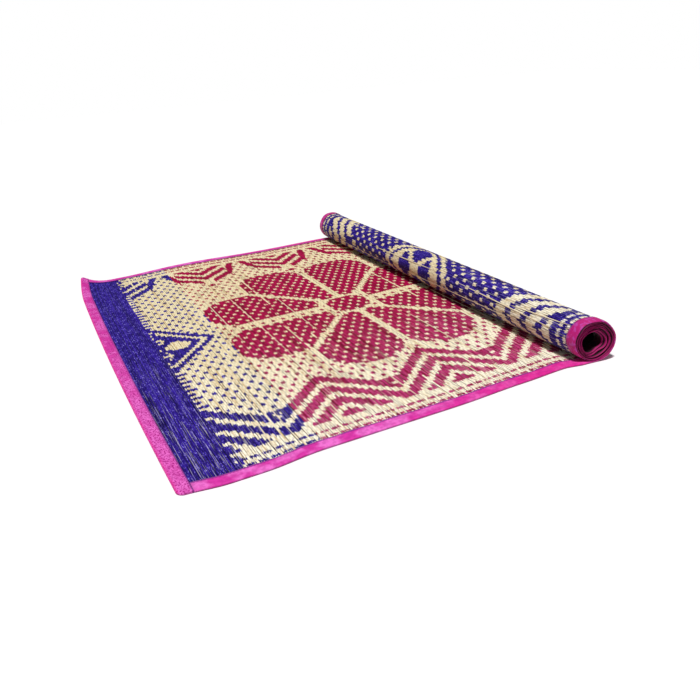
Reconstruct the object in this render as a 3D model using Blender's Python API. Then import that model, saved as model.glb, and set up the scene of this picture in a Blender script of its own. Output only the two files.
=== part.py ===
"""Grass yoga mat, half unrolled: a woven sedge panel with cloth tape bound over its edges.

The free end lies flat and the other end is wound into a roll on the mat's face.
Metres, +Z up. +X runs along the mat from the free end to the roll, +Y across it to the far side.
The edges' wander, the lifted corner and the roll's slant are the object's own unevenness.
"""
import math
from collections import namedtuple

import bmesh
import bpy

# Woven panel
HALF_WIDTH = 0.450           # half the mat's width, over the tape
PANEL_THICKNESS = 0.0022     # two layers of flattened reeds on their warp threads
FREE_END_BOW = 0.0060        # how far the free end bulges outwards at its middle

# Binding tape, folded over the panel's edges
TAPE_THICKNESS = 0.0005
CLEARANCE = 0.0003           # between the tape and the panel, and where two tapes meet
SIDE_TAPE_WIDTH = 0.018      # each leg of the tape along the two long edges
END_TAPE_WIDTH = 0.0185      # each leg of the tape across the free end
CORNER_RADIUS = 0.009        # rounding of the two corners at the free end
COVER = TAPE_THICKNESS + CLEARANCE
SETTLE = 0.025               # the panel comes down off the tape's lower leg over this width

# Roll
ROLL_X_NEAR = 0.6165         # roll's axis from the free end, at the near side
ROLL_X_FAR = 0.6205          # and at the far side
ROLL_RADIUS_NEAR = 0.0312    # outside of the grass, without the tape, from the floor to the axis
ROLL_RADIUS_FAR = 0.0326
ROLL_SPREAD_NEAR = 0.0030    # the looser near side sags wider than this radius
ROLL_FACET = 0.0006          # soft flats where reeds resist bending
ROLL_FACETS = 6
CORE_RADIUS = 0.0125         # mean radius of the open middle
CORE_DROP = 0.0040           # the open middle lies below the roll's axis
CORE_SQUEEZE = 0.17          # share by which the open middle is drawn into an oval
CORE_TILT = math.radians(25)
CORE_CORNER = 0.09           # share by which it is drawn into rounded corners
CORE_RECESS = 0.0065         # the inner turns stop short of the outer ones at both ends
MOUTH_ANGLE = math.radians(246)   # here about the axis the roll closes on the flat cloth
NEAR_SLANT_SIDE = 0.0065     # the near end face is slanted: its far side from the free end stands out
NEAR_SLANT_TOP = 0.0040      # and its top stands back

# Lifted corner and the raised stretch of the far edge
CORNER_LIFT = 0.0200
CORNER_LIFT_LENGTH = 0.070
CORNER_LIFT_WIDTH = 0.120
CORNER_CURL = 0.0100         # the lifted corner is drawn back from the free end
RIPPLE_HEIGHT = 0.0025
RIPPLE_X = 0.250
RIPPLE_LENGTH = 0.075
RIPPLE_WIDTH = 0.100

# Divisions
EVEN_COLUMNS = 13            # of the flat cloth between the free end and the roll
FLAT_MARGIN = 0.030          # the last even column stands this far before the roll's axis
ROLL_STEPS = 26
CORNER_STEPS = 4
WIDTH_STEPS = 16

# How far the long edges wander from a straight line, outwards positive
EdgeRow = namedtuple("EdgeRow", "along_mat outwards")
NEAR_EDGE = (EdgeRow(0.000, 0.0000), EdgeRow(0.060, 0.0070), EdgeRow(0.100, 0.0070),
             EdgeRow(0.180, 0.0000), EdgeRow(0.370, 0.0000), EdgeRow(0.490, -0.0045),
             EdgeRow(0.565, -0.0075), EdgeRow(0.600, -0.0010), EdgeRow(0.620, 0.0005))
FAR_EDGE = (EdgeRow(0.000, -0.0060), EdgeRow(0.090, -0.0050), EdgeRow(0.200, 0.0045),
            EdgeRow(0.310, 0.0050), EdgeRow(0.440, 0.0000), EdgeRow(0.600, 0.0035))

# A line of points across the mat. inset is the distance from the edge that it follows,
# across is 0 at the near edge and 1 at the far edge, and pull is the corner's rounding there.
Station = namedtuple("Station", "inset across pull")

GRASS_COLOUR = (0.55, 0.38, 0.26, 1.0)
TAPE_COLOUR = (0.62, 0.045, 0.28, 1.0)


def ease(low, high, value):
    """0 at low, 1 at high, with an even curve between."""
    share = min(max((value - low) / (high - low), 0.0), 1.0)
    return share * share * (3.0 - 2.0 * share)


def wander(rows, x):
    """The edge's outward shift at x, eased from row to row."""
    for first, second in zip(rows, rows[1:]):
        if x <= second.along_mat:
            share = ease(first.along_mat, second.along_mat, x)
            return first.outwards + (second.outwards - first.outwards) * share
    return rows[-1].outwards


def free_end(y):
    """X of the free end's outer edge."""
    return -FREE_END_BOW * (1.0 - (y / HALF_WIDTH) ** 2)


def edges(x, aside=0.0, above=-1.0):
    """Y of the near and the far outer edge. On the roll's end faces, aside and above say where,
    from -1 to 1 about the roll's axis; flat cloth is at the bottom of them."""
    slant = NEAR_SLANT_TOP * (1.0 + above) - NEAR_SLANT_SIDE * aside
    return slant - HALF_WIDTH - wander(NEAR_EDGE, x), HALF_WIDTH + wander(FAR_EDGE, x)


def across_mat(station, x, aside=0.0, above=-1.0, inset=None):
    """Y of a station at x."""
    near, far = edges(x, aside, above)
    depth = station.inset if inset is None else inset
    return (near + depth) * (1.0 - station.across) + (far - depth) * station.across


def seat(station, from_end):
    """Height of the panel's underside: on the tape's lower leg at the edges, on the floor inside."""
    side = 1.0 - ease(SIDE_TAPE_WIDTH, SIDE_TAPE_WIDTH + SETTLE, station.inset)
    end = 1.0 - ease(END_TAPE_WIDTH, END_TAPE_WIDTH + SETTLE, from_end)
    return COVER * max(side, end)


def corner_share(x, y):
    """1 at the tip of the lifted corner, 0 where the cloth lies down."""
    along = max(0.0, 1.0 - (x - free_end(y)) / CORNER_LIFT_LENGTH)
    across = max(0.0, 1.0 - (edges(x)[1] - y) / CORNER_LIFT_WIDTH)
    return (along * across) ** 2


def lift(x, y):
    """Height that unevenness adds."""
    ripple = math.exp(-((x - RIPPLE_X) / RIPPLE_LENGTH) ** 2) if x < 2.0 * RIPPLE_X else 0.0
    ripple *= max(0.0, 1.0 - (edges(x)[1] - y) / RIPPLE_WIDTH) ** 2
    return CORNER_LIFT * corner_share(x, y) + RIPPLE_HEIGHT * ripple


def flat_point(station, x, height, from_end):
    """A point of the flat cloth, height above its underside."""
    y = across_mat(station, x)
    z = seat(station, from_end) + lift(x, y) + height
    return (x + CORNER_CURL * corner_share(x, y), y, z)


def roll_axis(station):
    """X of the roll's axis and its height over the panel's underside."""
    share = station.across
    axis = ROLL_X_NEAR + (ROLL_X_FAR - ROLL_X_NEAR) * share
    return axis, ROLL_RADIUS_NEAR + (ROLL_RADIUS_FAR - ROLL_RADIUS_NEAR) * share


def roll_reach(station, angle):
    """Radius of the outer turn, which winds in by the panel's thickness, with its soft flats."""
    turned = angle / math.tau + 0.25
    swell = math.sin(math.pi * turned) ** 2
    spread = ROLL_SPREAD_NEAR * (1.0 - station.across) * math.cos(angle) ** 2
    facet = ROLL_FACET * math.cos(ROLL_FACETS * angle) * swell
    return roll_axis(station)[1] - PANEL_THICKNESS * turned + spread + facet


def core_reach(angle):
    """Radius of the open middle, a rounded four-sided oval."""
    oval = CORE_SQUEEZE * math.cos(2.0 * (angle - CORE_TILT))
    corners = CORE_CORNER * math.cos(4.0 * angle + 1.0) + CORE_CORNER * math.cos(3.0 * angle)
    return CORE_RADIUS * (1.0 + oval + corners)


def end_places(station, grow):
    """Distances from the free end of the columns that its tape covers."""
    return [COVER - grow + station.pull, END_TAPE_WIDTH / 2.0, END_TAPE_WIDTH]


def columns(station, grow, beside_tape):
    """X of the flat cloth's columns and their distance from the free end, as far as the roll.
    Beside the free end's tape, the first column stands clear of it."""
    axis = roll_axis(station)[0]
    mouth = axis + roll_reach(station, MOUTH_ANGLE) * math.cos(MOUTH_ANGLE) - grow
    edge = free_end(across_mat(station, 0.0))
    settled = END_TAPE_WIDTH + SETTLE
    span = axis - FLAT_MARGIN - edge - settled
    places = [END_TAPE_WIDTH + CLEARANCE] if beside_tape else end_places(station, grow)
    places.append(END_TAPE_WIDTH + SETTLE / 2.0)
    places += [settled + span * step / (EVEN_COLUMNS - 1) for step in range(EVEN_COLUMNS)]
    places.append(mouth - edge)
    return [(edge + place, place) for place in places]


def section(station, grow, beside_tape=False):
    """The mat's cross-section at a station, grown outwards by grow: the flat cloth's lower side,
    the roll's outside and the flat cloth's upper side, as one chain, then the open middle's ring."""
    flat = columns(station, grow, beside_tape)
    lower = [flat_point(station, x, -grow, place) for x, place in flat]
    upper = [flat_point(station, x, PANEL_THICKNESS + grow, place) for x, place in flat]
    axis, radius = roll_axis(station)
    centre = seat(station, axis) + radius

    def on_roll(angle):
        reach = roll_reach(station, angle) + grow
        y = across_mat(station, axis, math.cos(angle), math.sin(angle))
        return (axis + reach * math.cos(angle), y, centre + reach * math.sin(angle))

    start = -math.pi / 2.0
    around = [on_roll(start + (MOUTH_ANGLE - start) * step / ROLL_STEPS) for step in range(ROLL_STEPS + 1)]
    chain = lower + around + upper[::-1]

    count = ROLL_STEPS + 3
    hollow = SIDE_TAPE_WIDTH + SETTLE
    depth = max(station.inset, CORE_RECESS + station.inset * (1.0 - CORE_RECESS / hollow))
    core = []
    for step in range(count):
        angle = start + math.tau * (step - 1) / count
        reach = core_reach(angle) - grow
        y = across_mat(station, axis, 0.0, 0.0, depth)
        core.append((axis + reach * math.cos(angle), y, centre - CORE_DROP + reach * math.sin(angle)))
    return chain, core


def stations(grow):
    """The lines of points across the whole mat, closer where its corners are rounded."""
    edge = COVER - grow
    radius = CORNER_RADIUS - edge
    turns = [math.pi / 2.0 * step / CORNER_STEPS for step in range(CORNER_STEPS + 1)]
    arc = [(edge + radius * (1.0 - math.cos(turn)), radius * (1.0 - math.sin(turn))) for turn in turns]
    settled = SIDE_TAPE_WIDTH + SETTLE
    side = arc + [(SIDE_TAPE_WIDTH, 0.0), (settled, 0.0)]
    near = [Station(inset, 0.0, pull) for inset, pull in side]
    middle = [Station(settled, step / WIDTH_STEPS, 0.0) for step in range(1, WIDTH_STEPS)]
    far = [Station(inset, 1.0, pull) for inset, pull in reversed(side)]
    return near + middle + far


class Body:
    """A mesh built up from rings of points, each point once."""

    def __init__(self):
        self.mesh = bmesh.new()

    def ring(self, points):
        return [self.mesh.verts.new(point) for point in points]

    def face(self, *corners):
        self.mesh.faces.new(corners)

    def strip(self, first, second, closed=False):
        """Triangles between two rings of equal length. Rings given in order along +Y split their
        faces alike, so that the panel and its tape run side by side."""
        count = len(first) if closed else len(first) - 1
        for step in range(count):
            after = (step + 1) % len(first)
            self.face(first[step], first[after], second[after])
            self.face(first[step], second[after], second[step])

    def end_cap(self, chain, core):
        """The face at one end of the mat: a strip up to the roll and a ring around its middle."""
        flat = (len(chain) - len(core) + 2) // 2
        for step in range(flat - 1):
            self.face(chain[step], chain[step + 1], chain[-2 - step], chain[-1 - step])
        self.strip(chain[flat - 1:len(chain) - flat + 1], core)
        self.face(chain[len(chain) - flat], chain[flat - 1], core[0], core[-1])

    def finish(self, name, material, parent):
        bmesh.ops.recalc_face_normals(self.mesh, faces=self.mesh.faces)
        if self.mesh.calc_volume(signed=True) < 0.0:
            bmesh.ops.reverse_faces(self.mesh, faces=self.mesh.faces)
        data = bpy.data.meshes.new(name)
        self.mesh.to_mesh(data)
        self.mesh.free()
        data.shade_smooth()
        data.set_sharp_from_angle(angle=math.radians(40))
        data.materials.append(material)
        part = bpy.data.objects.new(name, data)
        part.parent = parent
        bpy.context.scene.collection.objects.link(part)
        return part


def finish_material(name, colour, roughness):
    """A matt, non-metallic finish."""
    material = bpy.data.materials.new(name)
    material.use_nodes = True
    shader = material.node_tree.nodes["Principled BSDF"]
    shader.inputs["Base Color"].default_value = colour
    shader.inputs["Roughness"].default_value = roughness
    shader.inputs["Metallic"].default_value = 0.0
    return material


def grass_panel(parent):
    """The woven cloth in one piece: flat to the roll, then the wound form around its open middle."""
    body = Body()
    rings = []
    for station in stations(0.0):
        chain, core = section(station, 0.0)
        rings.append((body.ring(chain), body.ring(core)))
    for (chain, core), (next_chain, next_core) in zip(rings, rings[1:]):
        body.strip(chain, next_chain, closed=True)
        body.strip(core, next_core, closed=True)
    body.end_cap(*rings[0])
    body.end_cap(*rings[-1])
    return body.finish("grass_panel", finish_material("woven_sedge", GRASS_COLOUR, 0.75), parent)


def side_binding(name, across, material, parent):
    """Tape along one long edge, over both faces, and on around the roll's end and into its middle."""
    body = Body()

    def skin(grow):
        insets = (COVER - grow, SIDE_TAPE_WIDTH / 2.0, SIDE_TAPE_WIDTH)
        found = []
        for inset in insets:
            chain, core = section(Station(inset, across, 0.0), grow, beside_tape=True)
            found.append((body.ring(chain), body.ring(core)))
        in_order = found[::-1] if across else found
        for first, second in zip(in_order, in_order[1:]):
            body.strip(first[0], second[0])
            body.strip(first[1], second[1], closed=True)
        body.end_cap(*found[0])
        return found

    outside, inside = skin(COVER), skin(CLEARANCE)
    body.strip(outside[-1][0], inside[-1][0])
    body.strip(outside[-1][1], inside[-1][1], closed=True)
    for end in (0, -1):
        body.strip([loop[0][end] for loop in outside], [loop[0][end] for loop in inside])
    body.face(outside[0][0][0], inside[0][0][0], inside[0][0][-1], outside[0][0][-1])
    return body.finish(name, material, parent)


def end_binding(material, parent):
    """Tape across the free end, closed around both rounded corners."""
    body = Body()

    def skin(grow):
        found = []
        for station in stations(grow):
            edge = free_end(across_mat(station, 0.0))
            places = end_places(station, grow)
            lower = [flat_point(station, edge + place, -grow, place) for place in reversed(places)]
            upper = [flat_point(station, edge + place, PANEL_THICKNESS + grow, place) for place in places]
            found.append(body.ring(lower + upper))
        for first, second in zip(found, found[1:]):
            body.strip(second, first)
        for ring in (found[0], found[-1]):
            body.strip(ring[:len(places)], ring[:len(places) - 1:-1])
        return found

    outside, inside = skin(COVER), skin(CLEARANCE)
    for side in (0, -1):
        body.strip([ring[side] for ring in outside], [ring[side] for ring in inside])
    for end in (0, -1):
        body.face(outside[end][0], inside[end][0], inside[end][-1], outside[end][-1])
    return body.finish("binding_end", material, parent)


def main():
    for old in list(bpy.data.objects):
        bpy.data.objects.remove(old, do_unlink=True)
    origin = bpy.data.objects.new("mat_origin", None)
    bpy.context.scene.collection.objects.link(origin)
    tape = finish_material("binding_tape", TAPE_COLOUR, 0.6)
    parts = [grass_panel(origin),
             side_binding("binding_near", 0.0, tape, origin),
             side_binding("binding_far", 1.0, tape, origin),
             end_binding(tape, origin)]
    # The origin is the middle of the whole mat's footprint, on the floor
    corners = [vertex.co for part in parts for vertex in part.data.vertices]
    middle = [(min(co[axis] for co in corners) + max(co[axis] for co in corners)) / 2.0 for axis in (0, 1)]
    origin.location = (-middle[0], -middle[1], 0.0)


main()
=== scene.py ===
"""The looks of a grass yoga mat, flat at its free end and rolled up at the other.

Every piece is first laid out flat, as on the loom: along the mat, across it and above the middle
of its cloth, in metres. A Geometry Nodes group then lays it on the mat's surface.
"""

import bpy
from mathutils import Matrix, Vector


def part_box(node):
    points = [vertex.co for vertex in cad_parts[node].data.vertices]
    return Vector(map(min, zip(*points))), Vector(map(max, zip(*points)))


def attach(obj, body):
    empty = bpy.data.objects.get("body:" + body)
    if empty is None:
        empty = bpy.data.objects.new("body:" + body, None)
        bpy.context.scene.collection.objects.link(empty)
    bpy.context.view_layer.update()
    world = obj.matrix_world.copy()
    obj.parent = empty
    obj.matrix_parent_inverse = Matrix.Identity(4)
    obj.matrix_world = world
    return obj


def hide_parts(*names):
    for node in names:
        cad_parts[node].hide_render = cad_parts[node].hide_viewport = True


bl_info = {
    "name": "Grass Yoga Mat",
    "version": (1, 0, 0),
    "blender": (4, 5, 0),
    "location": "View3D > Sidebar > Grass Mat",
    "description": "Builds a woven grass mat, flat at one end and rolled up at the other",
    "category": "Add Mesh",
}

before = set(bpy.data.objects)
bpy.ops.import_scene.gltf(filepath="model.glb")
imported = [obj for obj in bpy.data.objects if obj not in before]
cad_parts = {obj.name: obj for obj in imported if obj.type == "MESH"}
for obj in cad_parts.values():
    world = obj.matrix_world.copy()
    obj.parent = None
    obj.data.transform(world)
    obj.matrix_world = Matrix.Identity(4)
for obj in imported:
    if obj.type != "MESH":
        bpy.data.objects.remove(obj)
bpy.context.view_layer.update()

import math
from functools import partial

import bpy
import numpy as np
from bpy.props import FloatProperty, FloatVectorProperty, IntProperty, PointerProperty
from mathutils import Matrix, Vector

# The mat's form, in the CAD model's own measures
HALF_WIDTH = 0.450
PANEL_THICKNESS = 0.0022
FREE_END_BOW = 0.0060
BOW_REACH = 0.25             # the free end's bulge fades over this length
COVER = 0.0008               # the tape and its clearance over the cloth
SIDE_TAPE_WIDTH = 0.018
END_TAPE_WIDTH = 0.0185
CLEARANCE = 0.0003
FOLD_BEND = 0.0045           # the tape's fold rounds off over this distance from the edge
CLOTH_INSET = 0.0026         # the cloth's edge inside the fold
CORNER_RADIUS = 0.009
SETTLE = 0.025
ROLL_X_NEAR = 0.6165
ROLL_X_FAR = 0.6205
AXIS_MID = (ROLL_X_NEAR + ROLL_X_FAR) / 2.0
ROLL_RADIUS_NEAR = 0.0312
ROLL_RADIUS_FAR = 0.0326
ROLL_SPREAD_NEAR = 0.0030
ROLL_FACET = 0.0006
ROLL_FACETS = 6
CORE_RADIUS = 0.0125
CORE_DROP = 0.0040
CORE_SQUEEZE = 0.17
CORE_TILT = math.radians(25)
CORE_CORNER = 0.09
CORE_RECESS = 0.0065
NEAR_SLANT_SIDE = 0.0065
NEAR_SLANT_TOP = 0.0040
CORNER_LIFT = 0.0200
CORNER_LIFT_LENGTH = 0.070
CORNER_LIFT_WIDTH = 0.120
CORNER_CURL = 0.0100
RIPPLE_HEIGHT = 0.0025
RIPPLE_X = 0.250
RIPPLE_LENGTH = 0.075
RIPPLE_WIDTH = 0.100
NEAR_EDGE = ((0.000, 0.0000), (0.060, 0.0070), (0.100, 0.0070), (0.180, 0.0000), (0.370, 0.0000),
             (0.490, -0.0045), (0.565, -0.0075), (0.600, -0.0010), (0.620, 0.0005))
FAR_EDGE = ((0.000, -0.0060), (0.090, -0.0050), (0.200, 0.0045), (0.310, 0.0050),
            (0.440, 0.0000), (0.600, 0.0035))
# Where that form's own origin, the free end's straight line on the centre line, lies in the frame
NEAR_BULGE = max(outwards for _, outwards in NEAR_EDGE)
ORIGIN_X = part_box("binding_end")[0].x + FREE_END_BOW
ORIGIN_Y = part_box("binding_near")[0].y + HALF_WIDTH + NEAR_BULGE

# The roll's turns
TURNS = 8.0
OUTER_PRESS = 0.85           # the outer turn is pressed to this share of its thickness
LEAST_PRESS = 0.35           # and an inner turn to this one at most
STACK = PANEL_THICKNESS + 2.0 * COVER    # cloth with tape on both faces, unpressed
LOOSENESS = 0.30             # share of a turn's thickness that is a gap where the turns part
UNEVEN_TURN = 4.3            # how fast the gaps come and go along the turns
INNER_TURN = 0.0026          # thickness of the innermost turn, around the open middle
END_RIDGE = 0.0020           # the turns' edges stand out and in by this much at the roll's ends
RIDGE_TURNS = 2.3            # from ridge to ridge

# The weave
REED_PITCH = 0.0032          # reeds lie across the mat
WARP_PITCH = 0.0075          # cotton warps run along it
WARPS = 120
FACE_END = 0.612             # the patterned face goes out of sight in the roll's mouth
ROLL_START = 0.600           # and the underside comes into sight on its outside
OUTER_END = 0.812            # end of the outer turn, just inside the mouth

# The pattern, measured from the free end, and from the pattern's centre line outwards
CENTRE_WARP = 58.5
BORDER_END = 0.077
VIOLET_END = 0.186
MAROON_END = 0.655
MIRROR_PAST = 0.02           # past the mat's middle the pattern runs back again, mirrored
DOT_PERIOD = 6               # reeds
FLOWER_X = 0.4346
SPOKE_SLOPE = 1.12           # natural bands part the petals slantwise
SPOKE_SCALE = 1.50           # a step outwards over a step square to such a band
SPOKE_HALF = 0.006
ALONG_BAND_HALF = 0.0130     # and straight ones, along the mat
ACROSS_BAND_HALF = 0.0062    # and across it
PETAL_POWER = 2.5            # how square the petals' round ends are
LOW_PETAL = (0.170, 0.084)   # middle of a petal's round end, for petals along the mat
LOW_PETAL_END = (0.082, 0.074)
LOW_PETAL_START = 0.052
LOW_PETAL_SIDE = 0.158
HIGH_PETAL = 0.073           # and for petals across it
HIGH_PETAL_OUT = (0.188, 0.205)    # at the near and the far side
HIGH_PETAL_END = (0.068, 0.066)
HIGH_PETAL_START = 0.047
HIGH_PETAL_SIDE = 0.141
PETAL_RIM = 0.006            # natural rim round each petal
FLOWER_RING = (0.054, 0.049)
FLOWER_MIDDLE = (0.038, 0.037)
RING_POWER = 3.0
ZIGZAG_START = 0.2515        # a tip of the zigzag border
ZIGZAG_PERIOD = 0.1768
ZIGZAG_TIP = 0.249           # from the centre line
ZIGZAG_SLOPE = 0.92
ZIGZAG_BLUNT = 0.066         # its valleys at the near side are filled from this depth
ZIGZAG_BANDS = (3, 2)        # warps that a dyed band takes, and a natural one
ZIGZAG_ROLL_SHIFT = 0.016    # the border runs on by this much on the roll
FAR_TIP_OUT = 0.027          # at the far side the tips stand further out
ARCH_RISE = 3.3              # and the valleys between them are steep arches
ARCH_FOOT = 0.062
ARCH_HALF = 0.064
ARCH_BAND = 0.016
BLOCK_OUT = (0.262, 0.276)   # with a small block before each tip
BORDER_WARPS = 8             # warps beside each long edge that the zigzag leaves free
LINE_WARPS = (3, 5)          # of them, the dashed ones
LINE_STRENGTH = 0.76         # they are thinner than a warp's pitch
MISSED_SHARE = 0.10          # reeds that missed the dye over a stretch
TRIANGLE_TIP = 0.174
TRIANGLE_SLOPE = 0.90
TRIANGLE_HALF = 0.104
TRIANGLE_RIM = (0.013, 0.024)      # a natural line runs inside its edge
DIAMOND_X = 0.108
DIAMOND_HALF = (0.0255, 0.020)     # along the mat, and cut off across it
MEDALLION_X = 0.762
MEDALLION_HALF = (0.072, 0.112)
MEDALLION_POWER = 1.45
MEDALLION_RING = (0.77, 0.88)      # shares of the way out
LEAF_HALF = (0.052, 0.058)
LEAF_SLOPE = 0.92
LEAF_GAP_HALF = 0.0080

TAPE_THICKNESS = 0.0005
TAPE_HALF = PANEL_THICKNESS / 2.0 + COVER
TAPE_THREAD = 0.0009         # the tape's own weave

# Light
AMBIENT = 0.17
BACKDROP = 1.0
KEY = 3.2


def hex_colour(code):
    """Linear colour of an sRGB hex value."""
    parts = [int(code[start:start + 2], 16) / 255.0 for start in (1, 3, 5)]
    return tuple(part / 12.92 if part <= 0.04045 else ((part + 0.055) / 1.055) ** 2.4
                 for part in parts)


def ease(low, high, value):
    """0 at low, 1 at high, with an even curve between."""
    share = np.clip((value - low) / (high - low), 0.0, 1.0)
    return share * share * (3.0 - 2.0 * share)


def wander(rows, x):
    """The edge's outward shift at x, eased from row to row."""
    shift = rows[0][1]
    for (start, first), (end, second) in zip(rows, rows[1:]):
        shift = shift + (second - first) * ease(start, end, x)
    return shift


def core_reach(angle):
    """Radius of the open middle, a rounded four-sided oval."""
    oval = CORE_SQUEEZE * np.cos(2.0 * (angle - CORE_TILT))
    corners = CORE_CORNER * np.cos(4.0 * angle + 1.0) + CORE_CORNER * np.cos(3.0 * angle)
    return CORE_RADIUS * (1.0 + oval + corners)


def surface_points(place, turn, share):
    """Points of the cloth's middle surface and how far the cloth is pressed there.
    place is the flat distance from the free end, turn counts the roll's turns, and share goes
    from 0 at the near edge to 1 at the far edge."""
    axis = ROLL_X_NEAR + (ROLL_X_FAR - ROLL_X_NEAR) * share
    radius = ROLL_RADIUS_NEAR + (ROLL_RADIUS_FAR - ROLL_RADIUS_NEAR) * share
    angle = math.tau * turn - math.pi / 2.0
    inner = np.maximum(turn - 1.0, 0.0) / (TURNS - 1.0)
    spread = ROLL_SPREAD_NEAR * (1.0 - share) * np.cos(angle) ** 2
    facet = ROLL_FACET * np.cos(ROLL_FACETS * angle) * np.sin(math.pi * turn) ** 2
    outside = radius + spread + facet - PANEL_THICKNESS * np.minimum(turn, 1.0)
    core = core_reach(angle) + INNER_TURN
    reach = outside * (1.0 - inner) + core * inner
    drop = CORE_DROP * inner

    spacing = (outside - core + CORE_DROP * np.sin(angle)) / (TURNS - 1.0)
    parted = 1.0 - LOOSENESS * np.cos(UNEVEN_TURN * turn) ** 2
    tight = np.clip(spacing / STACK, LEAST_PRESS, OUTER_PRESS) * parted
    press = OUTER_PRESS + (tight - OUTER_PRESS) * ease(0.6, 1.0, turn)
    before = 1.0 + (OUTER_PRESS - 1.0) * ease(AXIS_MID - 0.05, AXIS_MID, place)
    press = np.where(turn > 0.0, press, before)
    middle = reach - PANEL_THICKNESS / 2.0 * press

    aside = np.cos(angle) * middle / radius
    above = np.where(turn > 0.0, np.sin(angle) * middle / radius, -1.0)
    flat_x = place * axis / AXIS_MID
    slant = NEAR_SLANT_TOP * (1.0 + above) - NEAR_SLANT_SIDE * np.where(turn > 0.0, aside, 0.0)
    ridge = np.sin(math.tau * turn / RIDGE_TURNS) + 0.4 * np.sin(3.0 * angle + 2.0 * turn)
    recess = CORE_RECESS * inner + END_RIDGE * ridge * ease(1.0, 1.8, turn)
    near = slant - HALF_WIDTH - wander(NEAR_EDGE, flat_x) + recess
    far = HALF_WIDTH + wander(FAR_EDGE, flat_x) - recess
    y = near + (far - near) * share

    inset = np.minimum(share, 1.0 - share) * 2.0 * HALF_WIDTH
    side = 1.0 - ease(SIDE_TAPE_WIDTH, SIDE_TAPE_WIDTH + SETTLE, inset)
    end = 1.0 - ease(END_TAPE_WIDTH, END_TAPE_WIDTH + SETTLE, place)
    seat = COVER * np.maximum(side, end)

    bow = -FREE_END_BOW * (1.0 - (y / HALF_WIDTH) ** 2)
    flat_x = flat_x + bow * np.maximum(0.0, 1.0 - place / BOW_REACH) ** 2
    along = np.maximum(0.0, 1.0 - (flat_x - bow) / CORNER_LIFT_LENGTH)
    across = np.maximum(0.0, 1.0 - (far - y) / CORNER_LIFT_WIDTH)
    corner = (along * across) ** 2
    ripple = np.exp(-((flat_x - RIPPLE_X) / RIPPLE_LENGTH) ** 2)
    ripple = ripple * np.maximum(0.0, 1.0 - (far - y) / RIPPLE_WIDTH) ** 2
    lift = CORNER_LIFT * corner + RIPPLE_HEIGHT * ripple * (turn <= 0.0)

    x = np.where(turn > 0.0, axis + middle * np.cos(angle), flat_x + CORNER_CURL * corner)
    flat_z = seat + lift + PANEL_THICKNESS / 2.0 * press
    z = np.where(turn > 0.0, seat + radius - drop + middle * np.sin(angle), flat_z)
    return np.stack([x + ORIGIN_X, y + ORIGIN_Y, z], axis=-1), press + 0.0 * y


def turn_lengths():
    """Length of cloth wound at a table of turns, on the mat's centre line."""
    turns = np.linspace(1e-6, TURNS + 0.05, 2000)
    points, _ = surface_points(AXIS_MID, turns, 0.5)
    steps = np.linalg.norm(np.diff(points, axis=0), axis=1)
    return turns, AXIS_MID + np.concatenate([[0.0], np.cumsum(steps)])


TURN_TABLE = turn_lengths()
MAT_LENGTH = float(np.interp(TURNS, *TURN_TABLE))


def along_at(turn):
    """Distance along the mat at a turn of the roll."""
    return np.interp(turn, *TURN_TABLE)


def plain_mesh(name, points, faces):
    """A mesh of points and faces."""
    mesh = bpy.data.meshes.new(name)
    mesh.from_pydata(points, [], faces)
    mesh.update()
    return mesh


def add_object(name, mesh):
    """A new object in the scene, at the origin."""
    piece = bpy.data.objects.new(name, mesh)
    bpy.context.scene.collection.objects.link(piece)
    return piece


def store(mesh, name, kind, domain, values):
    """Keeps values on the mesh under a name."""
    layer = mesh.attributes.new(name, kind, domain)
    field = {"FLOAT": "value", "FLOAT_VECTOR": "vector", "FLOAT_COLOR": "color"}[kind]
    layer.data.foreach_set(field, np.asarray(values, np.float32).ravel())


def grid_faces(columns, rows, start=0):
    """Quads of a grid whose points are numbered column by column, facing up."""
    corner = start + np.arange((columns - 1) * rows).reshape(columns - 1, rows)[:, :-1].ravel()
    return np.stack([corner, corner + rows, corner + rows + 1, corner + 1], axis=1)


def mat_surface():
    """The cloth's middle surface, which the flat pieces are laid on. It holds the face's direction,
    the cloth's press and each point's flat place."""
    flat = np.concatenate([np.linspace(-0.012, 0.09, 18), np.linspace(0.10, AXIS_MID - 0.002, 48)])
    wound = np.concatenate([np.arange(0.002, 1.2, 1.0 / 48.0),
                            np.arange(1.2, TURNS + 0.04, 1.0 / 30.0)])
    place = np.concatenate([flat, np.full(len(wound), AXIS_MID)])
    turn = np.concatenate([np.zeros(len(flat)), wound])
    along = np.where(turn > 0.0, along_at(turn), place)
    insets = np.array([-0.004, 0.0, 0.002, 0.005, 0.010, 0.018, 0.023, 0.030, 0.038, 0.050])
    side = insets / (2.0 * HALF_WIDTH)
    share = np.concatenate([side, np.linspace(0.075, 0.925, 24), 1.0 - side[::-1]])
    points, press = surface_points(place[:, None], turn[:, None], share[None, :])
    facing = np.cross(np.gradient(points, axis=0), np.gradient(points, axis=1))
    facing /= np.linalg.norm(facing, axis=-1, keepdims=True)
    faces = grid_faces(len(along), len(share))
    mesh = plain_mesh("mat_surface", points.reshape(-1, 3), faces)
    flat_place = np.stack(np.meshgrid(along, (share - 0.5) * 2.0 * HALF_WIDTH, indexing="ij"), axis=-1)
    layer = mesh.uv_layers.new(name="flat")
    layer.data.foreach_set("uv", flat_place.reshape(-1, 2)[faces.ravel()].astype(np.float32).ravel())
    store(mesh, "facing", "FLOAT_VECTOR", "POINT", facing)
    store(mesh, "press", "FLOAT", "POINT", press)
    add_object("mat_surface", mesh).hide_render = True


# Geometry Nodes

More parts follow.
